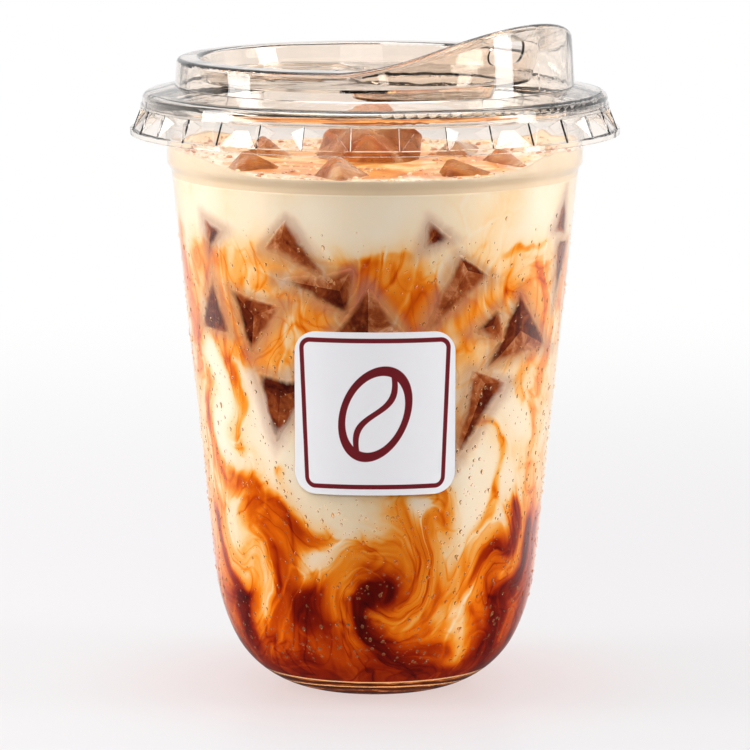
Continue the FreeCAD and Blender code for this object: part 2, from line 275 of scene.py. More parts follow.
def tint(red, green, blue):
    """A colour from its screen values, 0 to 255, as the shaders want it."""
    def linear(value):
        value /= 255
        return value / 12.92 if value <= 0.04045 else ((value + 0.055) / 1.055) ** 2.4
    return (linear(red), linear(green), linear(blue))


def rgba(*screen):
    """The same colour with its opacity, as a socket wants it."""
    return tint(*screen) + (1.0,)


# ---------------------------------------------------------------- meshes

def new_piece(name, points, faces, material):
    """A smooth mesh object at the origin, from points in mm and faces of three corners or more."""
    mesh = bpy.data.meshes.new(name)
    mesh.from_pydata((points * MM).tolist(), [], faces)
    mesh.polygons.foreach_set("use_smooth", np.ones(len(mesh.polygons), bool))
    mesh.materials.append(material)
    piece = bpy.data.objects.new(name, mesh)
    bpy.context.scene.collection.objects.link(piece)
    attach(piece, "root")
    return piece


def store(piece, name, values, kind="FLOAT"):
    """Keeps a value for each point on the mesh, for its material to read."""
    attribute = piece.data.attributes.new(name, kind, "POINT")
    key = {"FLOAT": "value", "FLOAT_VECTOR": "vector"}[kind]
    attribute.data.foreach_set(key, np.asarray(values, np.float32).ravel())


def around(radius, bearing, height):
    """Points round the upright axis: x = r sin a and y = -r cos a, so that bearing 0 is the front."""
    x, y = radius * np.sin(bearing), -radius * np.cos(bearing)
    return np.stack(np.broadcast_arrays(x, y, height), -1)


def spun_grid(radius, height, turns):
    """Points and faces of a profile turned round the axis, with a pole at each end.

    Radius and height have a row for each ring, with one value for all of it or one for each of
    its points. Rings are joined by quads, and the first and the last by fans to a pole."""
    ring = around(radius, turns, height)
    rows, cols = ring.shape[:2]
    poles = [[0, 0, height[0].mean()], [0, 0, height[-1].mean()]]
    points = np.vstack([ring.reshape(-1, 3), poles])
    j = np.arange(cols)
    k = (j + 1) % cols
    i = np.arange(rows - 1)[:, None] * cols
    quads = np.stack([i + j, i + k, i + cols + k, i + cols + j], -1).reshape(-1, 4)
    low = rows * cols
    last = low - cols
    fan_low = np.stack([k, j, 0 * j + low], -1)
    fan_high = np.stack([last + j, last + k, 0 * j + low + 1], -1)
    return points, [*quads.tolist(), *fan_low.tolist(), *fan_high.tolist()]


# ---------------------------------------------------------------- the cup's inside

def bowl_profile(grip):
    """Radius and height up the inside of the cup, from the floor's edge to the foam.

    Two arcs of the bowl, tangent to each other, and then the straight taper; all of it lies
    a wall's thickness, less the grip, inside the cup's outer face."""
    wall = WALL - grip
    foot, hip, lean = np.radians([FOOT_LEAN, HIP_LEAN, TAPER_LEAN])
    bowl = np.array([FOOT_RADIUS - BOWL_ARC * np.sin(foot), BOWL_ARC * np.cos(foot)])
    hips = bowl + (HIP_ARC - BOWL_ARC) * np.array([-np.sin(hip), np.cos(hip)])
    start = np.arccos((bowl[1] - FLOOR) / (BOWL_ARC - wall))
    a = np.linspace(start, hip, 26)
    b = np.linspace(hip, lean, 16)[1:]
    first = bowl + (BOWL_ARC - wall) * np.stack([np.sin(a), -np.cos(a)], -1)
    second = hips + (HIP_ARC - wall) * np.stack([np.sin(b), -np.cos(b)], -1)
    top = np.array(TAPER_TOP) - [wall, 0]
    share = np.linspace(0, 1, 190)[1:, None]
    taper = second[-1] + (top - second[-1]) * share
    return np.vstack([first, second, taper])


def run_along(line):
    """Length along a profile from its start to each of its points."""
    return np.concatenate([[0], np.cumsum(np.hypot(*np.diff(line, axis=0).T))])


def inner_radius(height, grip=0.0):
    """Radius of the cup's inside at a height, by interpolation along its profile."""
    line = np.vstack([bowl_profile(grip), np.array(STEP) - [WALL - grip, 0]])
    return np.interp(height, line[:, 1], line[:, 0])


def outer_radius(height):
    """Radius of the cup's outside: its inside and the wall."""
    return inner_radius(height) + WALL


def profile_at(run, grip=0.0):
    """Radius and height of the cup's inside at a run along its profile, in mm."""
    line = bowl_profile(grip)
    along = run_along(line)
    return np.interp(run, along, line[:, 0]), np.interp(run, along, line[:, 1])


def wall_points(bearing, run):
    """Points on the cup's inside at a bearing in radians and a run along the profile."""
    radius, height = profile_at(run)
    return around(radius, bearing, height)


def run_at(height):
    """Run along the inside profile at which a height is reached."""
    line = bowl_profile(0.0)
    return np.interp(height, line[:, 1], run_along(line))


# ---------------------------------------------------------------- fields on the drink

def lattice(points, size, seed):
    """Smooth noise between 0 and 1: seeded values at the corners of a cubic lattice, blended
    by a quintic curve along each axis."""
    period = 256
    table = np.random.default_rng(seed).permutation(period)
    q = points / size
    cell = np.floor(q).astype(int)
    f = q - cell
    f = f * f * f * (f * (f * 6 - 15) + 10)
    total = 0
    for corner in range(8):
        bit = np.array([corner & 1, corner >> 1 & 1, corner >> 2 & 1])
        x, y, z = ((cell + bit) % period).T
        value = table[(table[(table[x] + y) % period] + z) % period] / (period - 1)
        total = total + value * np.prod(np.where(bit, f, 1 - f), axis=-1)
    return total


def cloud(points, size, seed):
    """Three octaves of smooth noise, each half as large and half as strong, between -1 and 1."""
    total, weight = 0, 0
    for k in range(3):
        total = total + (lattice(points, size / 2 ** k, seed + k) * 2 - 1) / 2 ** k
        weight += 1 / 2 ** k
    return total / weight


# The resting layers of the drink: height in mm and how much syrup shows there.
LAYERS = [
    (4, 0.86), (9, 0.83), (16, 0.71), (27, 0.51), (40, 0.36), (60, 0.27), (78, 0.34), (92, 0.37),
    (99, 0.20), (103, 0.16), (120, 0.17),
]

# Streams of syrup and milk on the side of the drink, each an arc on the unrolled wall: how
# dark it is, from 0 for milk to 1 for syrup; its width; the bearing and height that it starts
# from; the way that it heads, in degrees to the right of straight up; its length; and how far
# it turns to the right on the way. Sizes are in mm. Later ones lie over earlier ones.
STREAMS = [
    # under the foam, down to the label
    (0.45, 3.2, -80, 99, 172, 36, -10), (0.57, 2.6, -64, 95, 80, 8, 15), (0.40, 9.0, -34, 92, 150, 14, 60),
    (0.47, 2.6, -60, 95, 178, 20, -30), (0.42, 4.0, -55, 81, 110, 11, 0), (0.09, 3.6, -63, 75, 170, 22, -15),
    (0.10, 3.0, -43, 75, 165, 8, 0), (0.49, 2.0, -44, 78, 140, 13, 20), (0.59, 1.9, -51, 74, 155, 8, 0),
    (0.45, 1.3, -19, 94, 60, 16, 45), (0.48, 2.4, -12, 94, 90, 9, 0), (0.53, 6.0, 2, 91, 95, 12, 30),
    (0.63, 1.0, -2, 93, 125, 13, 25), (0.63, 1.0, 16, 92, 245, 11, -80), (0.44, 0.8, 45, 98, 85, 11, 0),
    (0.40, 0.7, -1, 98, 95, 7, 0), (0.49, 2.4, 47, 94, 150, 18, 110), (0.49, 1.6, 59, 92, 160, 28, 65),
    (0.45, 1.5, 69, 83, 180, 18, 10), (0.51, 2.0, 78, 98, 190, 13, 0), (0.36, 5.0, 23, 81, 100, 15, 10),
    # beside the label
    (0.10, 6.0, -35, 64, 175, 15, -25), (0.43, 1.0, -49, 70, 172, 15, 0), (0.57, 1.9, -68, 60, 150, 12, -10),
    (0.42, 3.0, -59, 42, 170, 11, 0), (0.61, 2.2, -55, 48, 80, 15, 90), (0.17, 2.4, -49, 42, 160, 9, 0),
    (0.43, 1.2, -32, 52, 170, 11, -40), (0.15, 8.0, -20, 45, 130, 14, 40), (0.12, 6.5, 27, 53, 150, 14, -60),
    (0.13, 3.6, 45, 67, 140, 9, 0), (0.43, 1.3, 37, 62, 150, 23, 60), (0.45, 1.4, 51, 69, 145, 6, 0),
    (0.43, 1.2, 62, 64, 180, 20, 10),
    # at the foot
    (0.50, 8.0, 3, 30, 150, 11, 60), (0.40, 4.0, 28, 29, 120, 7, 0), (0.66, 3.2, -37, 40, 190, 28, -10),
    (0.74, 3.0, -37, 42, 120, 12, 45), (0.68, 2.4, -32, 32, 175, 11, 0), (0.86, 2.2, -70, 41, 170, 26, 0),
    (0.93, 3.2, -64, 24, 165, 12, 0), (0.34, 2.0, -50, 27, 175, 7, 0), (0.14, 3.6, -24, 29, 165, 10, 0),
    (0.94, 4.5, -29, 20, 120, 13, -15), (0.56, 5.0, -9, 27, 180, 10, -20), (0.52, 1.4, -12, 30, 70, 10, 0),
    (0.10, 2.4, 10, 39, 110, 4, 0), (0.36, 0.9, 2, 45, 105, 9, 35), (0.52, 1.5, 11, 48, 140, 14, 50),
    (0.52, 1.5, 20, 37, 225, 9, 70), (0.64, 1.4, 7, 35, 120, 15, 55), (0.72, 1.2, 25, 33, 215, 9, -60),
    (0.66, 1.1, 25, 33, 180, 9, -15), (0.84, 2.8, 51, 42, 195, 17, 15), (0.90, 3.6, 64, 39, 180, 29, 25),
    (0.80, 3.0, 74, 38, 180, 26, 0), (0.26, 2.8, 38, 22, 190, 10, 0), (0.80, 4.0, 18, 20, 140, 8, 0),
    (0.95, 4.2, 3, 24, 125, 13, 45), (0.56, 2.6, 0, 17, 170, 4, 0),
]


def hidden_streams():
    """Streams for the side that faces away: seeded arcs of the same kinds, hanging from the
    foam, lying in the milk or rising from the syrup. A kind is how dark and how wide its
    streams are, how high the highest start and how long the longest are."""
    dice = np.random.default_rng(41)
    kinds = [
        (0.36, 5.0, 96, 14), (0.54, 2.6, 94, 26), (0.06, 5.0, 66, 20), (0.50, 1.6, 66, 22),
        (0.86, 3.4, 40, 26)]
    streams = []
    for start in np.arange(98, 266, 9.0):
        for dark, width, top, length in kinds:
            if dice.random() < 0.75:
                streams.append((
                    dark + dice.uniform(-0.08, 0.08), width * dice.uniform(0.6, 1.2),
                    start + dice.uniform(-6, 6), top - dice.uniform(0, 14), dice.uniform(140, 220),
                    length * dice.uniform(0.4, 1.0), dice.uniform(-50, 50)))
    return streams


def stream_line(bearing, height, heading, length, turn):
    """Points along a stream's arc on the cup's inside: short steps whose way turns evenly."""
    share = np.linspace(0, 1, 10)
    middle = (share[1:] + share[:-1]) / 2
    way = np.radians(heading + turn * middle)
    step = length / len(middle)
    across = np.concatenate([[0], np.cumsum(np.sin(way) * step)])
    run = run_at(height) + np.concatenate([[0], np.cumsum(np.cos(way) * step)])
    radius, _ = profile_at(run)
    return wall_points(np.radians(bearing) + across / radius, run)


def stream_mask(points, width, line):
    """1 in the middle of a stream and 0 outside: a bell curve of the distance to its line."""
    near = np.full(len(points), np.inf)
    for a, b in zip(line, line[1:]):
        d = b - a
        t = np.clip(((points - a) @ d) / (d @ d), 0, 1)
        near = np.minimum(near, np.linalg.norm(points - a - t[:, None] * d, axis=1))
    return np.exp(-(near / width) ** 2)


# Eddies in the drink: bearing, height, size and how far the middle is turned, in degrees and mm.
EDDIES = [
    (4, 25, 11, 150), (-52, 33, 9, -100), (21, 41, 8, 110), (52, 30, 9, 90), (-14, 90, 8, 70),
    (46, 88, 8, -80), (-58, 62, 8, 80), (34, 60, 7, -90), (110, 30, 10, 120), (150, 42, 11, -120),
    (190, 26, 10, 140), (232, 38, 11, -110), (130, 84, 10, 90), (205, 78, 10, -100),
]


def curled(bearing, run):
    """Places on the wall turned round the middle of each eddy, less and less further out: the
    turn is a bell curve of the distance to the middle."""
    for middle, height, size, turn in EDDIES:
        rise = run_at(height)
        girth = float(inner_radius(height))
        across = (bearing - math.radians(middle) + math.pi) % TURN - math.pi
        up = run - rise
        angle = math.radians(turn) * np.exp(-((across * girth) ** 2 + up ** 2) / size ** 2)
        swing = across * girth * np.cos(angle) - up * np.sin(angle)
        run = rise + across * girth * np.sin(angle) + up * np.cos(angle)
        bearing = bearing + swing / girth - across
    return bearing, run


def syrup_field(bearing, run):
    """How much syrup shows at points on the drink's side, 0 to 1, and where they are moved to.

    The points are first pushed about along the wall by two sizes of noise and by the eddies,
    so that every stream gets a torn edge; then the resting layers are laid down, and the
    streams are painted over them one after another."""
    at = wall_points(bearing, run)
    radius = np.hypot(at[:, 0], at[:, 1]) + 4
    sway = 2.6 * cloud(at, size=17, seed=5) + 1.5 * cloud(at * [1, 1, 0.5], size=5, seed=11)
    lift = 3.4 * cloud(at, size=19, seed=23) + 1.6 * cloud(at * [1, 1, 0.6], size=5, seed=31)
    bearing, run = curled(bearing + sway / radius, run + lift)
    moved = wall_points(bearing, np.clip(run, 0, None))
    syrup = np.interp(moved[:, 2], *zip(*LAYERS)) + 0.12 * cloud(moved, size=12, seed=47)
    for dark, width, *arc in hidden_streams() + STREAMS:
        line = stream_line(*arc)
        middle, length = line[len(line) // 2], arc[3]
        near = np.linalg.norm(moved - middle, axis=1) < length / 2 + 3 * width + 2
        mask = stream_mask(moved[near], width, line)
        syrup[near] += (dark - syrup[near]) * np.clip(mask * 1.25, 0, 1)
    return np.clip(syrup, 0, 1), moved


# ---------------------------------------------------------------- sunk ice

# Cubes that lean on the wall inside the drink: bearing, height, side and how far they would
# pass the wall, in degrees and mm; which part of the cube meets the wall; and its roll there.
SUNK_ICE = [
    (-55, 102, 13, 3.0, "corner", 20), (-24, 100, 17, 4.0, "wedge", -50), (17, 103, 13, 2.4, "corner", 40),
    (25, 92, 18, 4.6, "wedge", 35), (-57, 88, 24, 4.4, "wedge", 184), (-39, 85, 20, 5.6, "corner", 10),
    (-15, 92, 17, 4.4, "wedge", 98), (-2, 82, 26, 8.6, "corner", 180), (38, 83, 15, 3.4, "corner", 200),
    (50, 81, 21, 6.8, "corner", 172), (71, 94, 16, 3.6, "wedge", 8), (69, 105, 13, 2.8, "wedge", 190),
    (-31, 68, 19, 6.0, "corner", 10), (34, 66, 22, 5.4, "wedge", 22),
]

# Tilt about X and spin about Z, in degrees, that bring that part of a cube to the wall.
MEETING = {"face": (8, 6), "wedge": (20, 45), "corner": (35.3, 45)}


def hidden_ice():
    """Cubes for the side that faces away, seeded."""
    dice = np.random.default_rng(12)
    kinds = list(MEETING)
    return [(bearing + dice.uniform(-5, 5), dice.uniform(66, 104), dice.uniform(12, 18),
             dice.uniform(1.2, 3.2), kinds[dice.integers(3)], dice.uniform(0, 180))
            for bearing in np.arange(100, 262, 18.0)]


def turned(angles):
    """A rotation from three turns about X, Y and Z, in degrees."""
    x, y, z = np.radians(angles)
    cx, sx, cy, sy, cz, sz = np.cos(x), np.sin(x), np.cos(y), np.sin(y), np.cos(z), np.sin(z)
    about_x = np.array([[1, 0, 0], [0, cx, -sx], [0, sx, cx]])
    about_y = np.array([[cy, 0, sy], [0, 1, 0], [-sy, 0, cy]])
    about_z = np.array([[cz, -sz, 0], [sz, cz, 0], [0, 0, 1]])
    return about_z @ about_y @ about_x


def sunk_places():
    """Middle, axes and half side of each sunk cube. It is turned to meet the wall, rolled
    about the line to the wall, and set so far out that it would pass the wall as stated,
    with most of its rounding taken off its reach."""
    places = []
    for bearing, height, side, proud, kind, roll in SUNK_ICE + hidden_ice():
        tilt, spin = MEETING[kind]
        axes = turned((0, 0, bearing)) @ turned((0, roll, 0)) @ turned((tilt, 0, 0)) @ turned((0, 0, spin))
        out = around(1, math.radians(bearing), 0)
        reach = side / 2 * np.abs(out @ axes).sum() - 0.7 * ICE_WORN
        middle = out * (inner_radius(height) + proud - reach) + [0, 0, height]
        places.append((middle, axes, side / 2))
    return places


def ice_depth(points):
    """Distance from each point to the nearest sunk cube, in mm, negative inside it."""
    nearest = np.full(len(points), np.inf)
    for middle, axes, half in sunk_places():
        q = np.abs((points - middle) @ axes) - (half - ICE_WORN)
        outside = np.linalg.norm(np.maximum(q, 0), axis=1)
        inside = np.minimum(q.max(axis=1), 0)
        nearest = np.minimum(nearest, outside + inside - ICE_WORN)
    return nearest


def cube_faces(half, cells):
    """Grids of points on the six faces of a cube with worn edges, and which face each is on.

    Each face is a square grid; its points are drawn in by the rounding, as if a smaller
    cube were grown by that radius."""
    u, v = np.meshgrid(np.linspace(-1, 1, cells), np.linspace(-1, 1, cells), indexing="ij")
    flat = np.stack([u, v, np.ones_like(u)], -1).reshape(-1, 3) * half
    core = half - ICE_WORN
    i = np.arange(cells - 1)[:, None] * cells
    j = np.arange(cells - 1)[None, :]
    quads = np.stack([i + j, i + cells + j, i + cells + j + 1, i + j + 1], -1).reshape(-1, 4)
    points, faces, side = [], [], []
    for axis in range(3):
        for sign in (1, -1):
            p = np.roll(flat, axis + 1, axis=1) * sign
            inner = np.clip(p, -core, core)
            reach = p - inner
            size = np.linalg.norm(reach, axis=1, keepdims=True)
            faces.append(quads + len(flat) * len(points))
            points.append(inner + reach / np.maximum(size, 1e-6) * ICE_WORN)
            side.append(np.full(len(flat), axis * 2 + (sign > 0)))
    return np.vstack(points), np.vstack(faces), np.concatenate(side)


# ---------------------------------------------------------------- pieces

def bearings():
    """Bearings of the columns round the drink: close together at the front, wider behind."""
    front = np.linspace(-FRONT_HALF, FRONT_HALF, 300, endpoint=False)
    back = np.linspace(FRONT_HALF, 360 - FRONT_HALF, 116, endpoint=False)
    return np.radians(np.concatenate([front, back]))


def make_drink(finish):
    """The coffee up to the foam, reaching just into the cup's wall: the inside profile turned
    round the axis. Its streams are kept on its points as one value, beside the pushed
    coordinates that its finer threads follow."""
    run = np.linspace(0, run_along(bowl_profile(WALL_GRIP))[-1] - DRINK_STOP, 230)
    radius, height = profile_at(run, WALL_GRIP)
    turns = bearings()
    points, faces = spun_grid(radius[:, None], height[:, None], turns)
    piece = new_piece("drink_body", points, faces, finish)
    whole_run = np.concatenate([np.repeat(run, len(turns)), [0, run[-1]]])
    whole_turn = np.concatenate([np.tile(turns, len(run)), [0, 0]])
    syrup, moved = syrup_field(whole_turn, whole_run)
    store(piece, "syrup", syrup)
    store(piece, "flow", moved, "FLOAT_VECTOR")
    depth = ice_depth(wall_points(whole_turn, whole_run))
    store(piece, "veil", np.clip(1 - depth / VEIL_DEPTH, 0, 1))
    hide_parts("drink")


def foam_height(radius, bearing):
    """Top of the foam: nearly level, drawn up at the wall, and banked on it at both sides. The
    rise at the wall dies away inwards as an exponential."""
    at = around(radius, bearing, 0.0)
    shape, at = at.shape[:-1], at.reshape(-1, 3)
    beside = np.clip((np.abs(np.sin(bearing)) - 0.45) / 0.4, 0, 1)
    bank = BANK_RISE * beside ** 2 * (1 + 0.4 * cloud(at, size=9, seed=71).reshape(shape))
    rise = (FOAM_EDGE - FOAM_TOP + bank) * np.exp((radius - inner_radius(FOAM_TOP)) / BANK_WIDTH)
    return FOAM_TOP + rise + 0.22 * cloud(at, size=7, seed=61).reshape(shape)


def make_foam(finish):
    """The pale foam: a closed disc whose side follows the wall up to its edge, and whose top
    is a height over rings that gather at the wall and lean out with it."""
    turns = bearings()
    rim = inner_radius(FOAM_TOP) + WALL_GRIP
    share = np.concatenate([np.linspace(0.04, 0.8, 50), np.linspace(0.8, 1, 46)[1:]])
    ring = rim * share[::-1, None] + 0 * turns
    top = foam_height(ring, turns)
    ring = ring + (inner_radius(top[0], FOAM_GRIP) - rim) * np.exp((ring - rim) / BANK_WIDTH)
    side = FOAM_BASE + (top[0] - FOAM_BASE) * np.linspace(0, 1, 12)[:-1, None]
    wall = inner_radius(side, FOAM_GRIP)
    radius = np.vstack([wall[:1] * 0.9, wall, ring])
    height = np.vstack([side[:1], side, top])
    points, faces = spun_grid(radius, height, turns)
    piece = new_piece("foam_top", points, faces, finish)
    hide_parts("foam")


def make_sunk_ice(finish):
    """Ice under the surface: worn cubes, each flattened where it would pass the cup's inside.

    How far a point would have passed is kept on it, so that the drink veils the rim of what
    shows; so are the painted shade of its face and what the drink's colour needs."""
    dice = np.random.default_rng(7)
    points, faces, painted_facet_shades, proud = [], [], [], []
    for middle, axes, half in sunk_places():
        p, f, side = cube_faces(half, cells=20)
        p = p @ axes.T + middle
        r = np.hypot(p[:, 0], p[:, 1])
        melt = 1 + 0.9 * cloud(p, size=5, seed=83) / r
        p[:, :2] *= melt[:, None]
        r = r * melt
        limit = inner_radius(p[:, 2], ICE_GRIP)
        proud.append(r - limit)
        p[:, :2] *= np.minimum(1, limit / r)[:, None]
        # painted shade: each face gets its own lighter or darker tone, as if lit from a different side
        shade = dice.permutation(np.linspace(0, 1, 6)) * 0.8 + dice.uniform(0, 0.2)
        painted_facet_shades.append(shade[side])
        faces.append(f + len(p) * len(points))
        points.append(p)
    points = np.vstack(points)
    syrup, moved = syrup_field(np.arctan2(points[:, 0], -points[:, 1]), run_at(points[:, 2]))
    piece = new_piece("sunk_ice", points, np.vstack(faces).tolist(), finish)
    store(piece, "syrup", syrup)
    store(piece, "flow", moved, "FLOAT_VECTOR")
    store(piece, "shade", np.concatenate(painted_facet_shades))
    store(piece, "proud", np.concatenate(proud))


def dome(segments, rings):
    """Unit points and faces of a half ball: rings at even tilts t from its top, with
    x = sin t cos a, y = sin t sin a and z = cos t, a fan to the top and one face as the base."""
    t = np.linspace(0, math.pi / 2, rings + 1)[1:, None]
    j = np.arange(segments)
    k = (j + 1) % segments
    a = TURN * j / segments
    ring = np.stack([np.sin(t) * np.cos(a), np.sin(t) * np.sin(a), np.cos(t) + 0 * a], -1)
    points = np.vstack([[[0, 0, 1]], ring.reshape(-1, 3)])
    fan = np.stack([0 * j, 1 + j, 1 + k], -1)
    i = 1 + np.arange(rings - 1)[:, None] * segments
    quads = np.stack([i + j, i + segments + j, i + segments + k, i + k], -1).reshape(-1, 4)
    base = 1 + (rings - 1) * segments + j[::-1]
    return points, [*fan.tolist(), *quads.tolist(), base.tolist()]


def scatter(name, shape, places, normals, sizes, finish):
    """One mesh of many copies of a shape: each is scaled by its three sizes and stands on
    its place with its own Z along the normal there."""
    unit, faces = shape
    up = normals / np.linalg.norm(normals, axis=1, keepdims=True)
    side = np.cross(up, np.where(np.abs(up[:, 2:]) > 0.9, [1.0, 0, 0], [0, 0, 1.0]))
    side /= np.linalg.norm(side, axis=1, keepdims=True)
    axes = np.stack([side, np.cross(up, side), up], 1)
    points = places[:, None, :] + np.einsum("pk,nk,nkx->npx", unit, sizes, axes)
    starts = np.arange(len(places))[:, None] * len(unit)
    whole = [corners for face in faces for corners in (starts + face).tolist()]
    return new_piece(name, points.reshape(-1, 3), whole, finish)


def make_bubbles(finish):
    """Bubbles on the foam: many small ones at the wall, fewer and larger ones inside, and a
    patch of fine froth near the front. Each is sunk by a part of its size."""
    dice = np.random.default_rng(19)
    loose, fine = 900, 900
    size = np.concatenate([0.22 + 0.75 * dice.random(loose) ** 3.2, 0.16 + 0.3 * dice.random(fine) ** 2])
    inset = np.where(dice.random(loose) < 0.72, dice.exponential(1.9, loose), dice.uniform(2, 30, loose))
    inset = np.concatenate([inset, dice.exponential(1.5, fine)])
    bearing = np.concatenate([dice.uniform(0, TURN, loose), np.radians(dice.normal(2, 17, fine))])
    tone = np.concatenate([dice.random(loose), dice.random(fine) * 0.62])
    radius = inner_radius(FOAM_TOP) - size * 0.7 - inset
    keep = radius > 2
    bearing, radius, size, tone = bearing[keep], radius[keep], size[keep], tone[keep]
    places = around(radius, bearing, foam_height(radius, bearing) - size * 0.3)
    sizes = np.stack([size, size, size * 0.95], -1)
    shape = dome(8, 3)
    piece = scatter("bubbles", shape, places, np.tile([0, 0, 1.0], (len(size), 1)), sizes, finish)
    store(piece, "tone", np.repeat(tone, len(shape[0])))


def make_dew(finish):
    """Drops of condensation on the outside of the cup, denser low down and clear of the label,
    with their bases just inside the wall; most are round and small, and some hang a little long."""
    dice = np.random.default_rng(3)
    count = 8500
    bearing = dice.uniform(-math.pi, math.pi, count)
    height = dice.uniform(9, 106, count)
    size = 0.13 + 0.34 * dice.random(count) ** 3.4
    thin = np.interp(height, [9, 45, 94, 106], [1.0, 0.7, 0.5, 0.1])
    low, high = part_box("label")
    clear = (np.abs(bearing) > LABEL_REACH) | (height < low[2] / MM - 0.8) | (height > high[2] / MM + 0.8)
    keep = (dice.random(count) < thin) & clear
    bearing, height, size = bearing[keep], height[keep], size[keep]
    slope = outer_radius(height + 0.5) - outer_radius(height - 0.5)
    normals = around(1, bearing, -slope)
    places = around(outer_radius(height), bearing, height) - 0.05 * normals
    long = 1 + 0.6 * dice.random(len(size)) ** 3
    sizes = np.stack([size, size * long, size * 0.5], -1)
    piece = scatter("dew", dome(7, 2), places, normals, sizes, finish)


# ---------------------------------------------------------------- finishes

# From milk through caramel to strong coffee, by how much syrup there is.
COFFEE = [
    (0.00, tint(255, 247, 235)), (0.14, tint(253, 236, 208)), (0.26, tint(252, 217, 162)),
    (0.37, tint(251, 184, 90)), (0.48, tint(246, 150, 34)), (0.60, tint(230, 112, 6)),
    (0.72, tint(200, 74, 2)), (0.83, tint(156, 36, 2)), (0.92, tint(110, 15, 5)), (1.00, tint(68, 7, 5)),
]

# Threads drawn along the flow: their scale, how narrow they are and how much darker, or paler
# below nought.
THREADS = [(0.055, 34, 0.14), (0.09, 26, 0.12), (0.14, 20, 0.08), (0.07, 24, -0.14)]

# Milk over ice, and the lid's plastic with a warm tint that is painted light from the foam below it.
VEIL = rgba(190, 144, 122)
LID_FOAM_GLOW_TINT = (1.0, 0.93, 0.865, 1)

# Painted light: bright rings under the drink, where the thick clear base would gather the light;
# the radii in mm where each starts, is full, wanes and ends.
PAINTED_BASE_RINGS = [(23.2, 24.0, 25.0, 25.6), (18.0, 18.4, 18.8, 19.2)]


def coffee_colour(f):
    """Milk, caramel and coffee by how much syrup there is, with threads drawn out along the
    flow; also gives the fine noise."""
    flow = f.field("flow", "Vector")
    syrup = f.field("syrup")
    wisps = f.noise(f.stretch(flow, (0.10, 0.10, 0.07)), 1.0, distortion=0.9)
    fine = f.noise(f.stretch(flow, (0.6, 0.6, 0.4)), 1.0, distortion=0.8)
    edge = (syrup.step(0.13, 0.42) * (1.15 - syrup) * 1.5).clip()
    tone = syrup ** 1.1 + (wisps - 0.5) * (0.06 + 0.5 * edge) + (fine - 0.5) * (0.02 + 0.06 * edge)
    for scale, width, dark in THREADS:
        drawn = f.stretch(flow, (scale, scale, scale * 0.55), (9 * scale, 0, width))
        middle = f.noise(drawn, 1.0, detail=1.0, roughness=0.4, distortion=1.1) - 0.5
        tone = tone + (1 - middle.math("ABSOLUTE") * width).clip() * edge * dark
    return f.ramp(tone.clip(), COFFEE), fine


def painted_base_light(f, colour):
    """Under the drink: painted rings and streaks of light, amber and cream, where the thick clear base
    gathers it.
    """
    p = f.place()
    r = f.from_axis()
    # painted light: amber streaks and bright rings stand in for the light that the clear base gathers
    painted_light_streaks = f.noise(p, 150.0, roughness=0.6, distortion=2.0) * 0.7
    waves = (r * 1500 + f.noise(p, 90.0, detail=2.0) * 9).math("SINE") * 0.18
    amber = f.ramp((painted_light_streaks + waves + 0.2).clip(), [
        (0.3, tint(84, 26, 6)), (0.5, tint(124, 54, 16)), (0.68, tint(170, 86, 32)),
        (0.85, tint(244, 182, 108))])
    outer, inner = (r.step(start * MM, full * MM) * (1 - r.step(wane * MM, end * MM))
                    for start, full, wane, end in PAINTED_BASE_RINGS)
    rings = f.mix(outer.math("MAXIMUM", inner), amber, rgba(250, 214, 166))
    low = 1 - f.height().step((FLOOR + 0.02) * MM, (FLOOR + 0.1) * MM)
    return f.mix(low, colour, rings)


def drink_finish():
    """The streaked coffee, with a mauve veil where ice lies close behind.

    Thin coffee is given a painted glow in its own colour, standing in for the light that passes through it,
    most of all low in the cup."""
    f = Finish("latte")
    colour, fine = coffee_colour(f)
    veiled = (f.field("veil") + (fine - 0.5) * 0.5).step(0.1, 1.2)
    colour = painted_base_light(f, f.mix(veiled * 0.6, colour, VEIL))
    # painted glow: emission in the coffee's own colour, strongest low in the cup, stands in for light
    # passing through it
    glow = 0.18 + (1 - f.height().step(4 * MM, 34 * MM)) * 0.62
    light = f.mix(glow, (0, 0, 0, 1), colour)
    return f.use(f.skin(base_color=colour, roughness=0.9, specular_ior_level=0.0,
                        emission_color=light, emission_strength=0.58))


def froth_colour(f, p):
    """Fine bubbles: pale cells with white walls between them and coffee in their middles."""
    middles = 1 - f.cells(p, 620.0).step(0.16, 0.34)
    walls = 1 - f.cells(p, 620.0, "DISTANCE_TO_EDGE").step(0.0, 0.1)
    froth = f.mix(middles * 0.8, rgba(253, 238, 216), rgba(226, 156, 84))
    return f.mix(walls * 0.6, froth, rgba(255, 250, 240))


def foam_finish():
    """Foam: the milk's own colour at the side and a froth of fine bubbles next to it; amber
    pools of coffee round the ice and towards the middle."""
    f = Finish("milk_foam")
    p = f.place()
    out = f.from_axis()
    rim = float(inner_radius(FOAM_TOP)) * MM
    pools = f.noise(p, 62.0, detail=4.0, roughness=0.55, distortion=1.2)
    colour = f.ramp(pools, [
        (0.28, tint(249, 218, 174)), (0.41, tint(244, 194, 128)), (0.50, tint(226, 146, 64)),
        (0.64, tint(186, 96, 30))])
    near = (out + (pools - 0.5) * 0.04).step(rim - 14 * MM, rim - 7 * MM)
    colour = f.mix(near * 0.85, colour, froth_colour(f, p))
    side = f.mix(f.noise(p, 300.0), rgba(252, 232, 203), rgba(251, 226, 193))
    top = f.height().step((FOAM_TOP - 0.4) * MM, (FOAM_TOP - 0.2) * MM)
    top = top * (1 - out.step(rim - 1.2 * MM, rim - 0.4 * MM))
    colour = f.mix(top, side, colour)
    # painted glow: the foam gives off a little light of its own, more at its side than on top
    light = f.mix(top * 0.6, colour, (0, 0, 0, 1))
    return f.use(f.skin(base_color=colour, roughness=0.3, specular_ior_level=0.3,
                        emission_color=light, emission_strength=0.03))


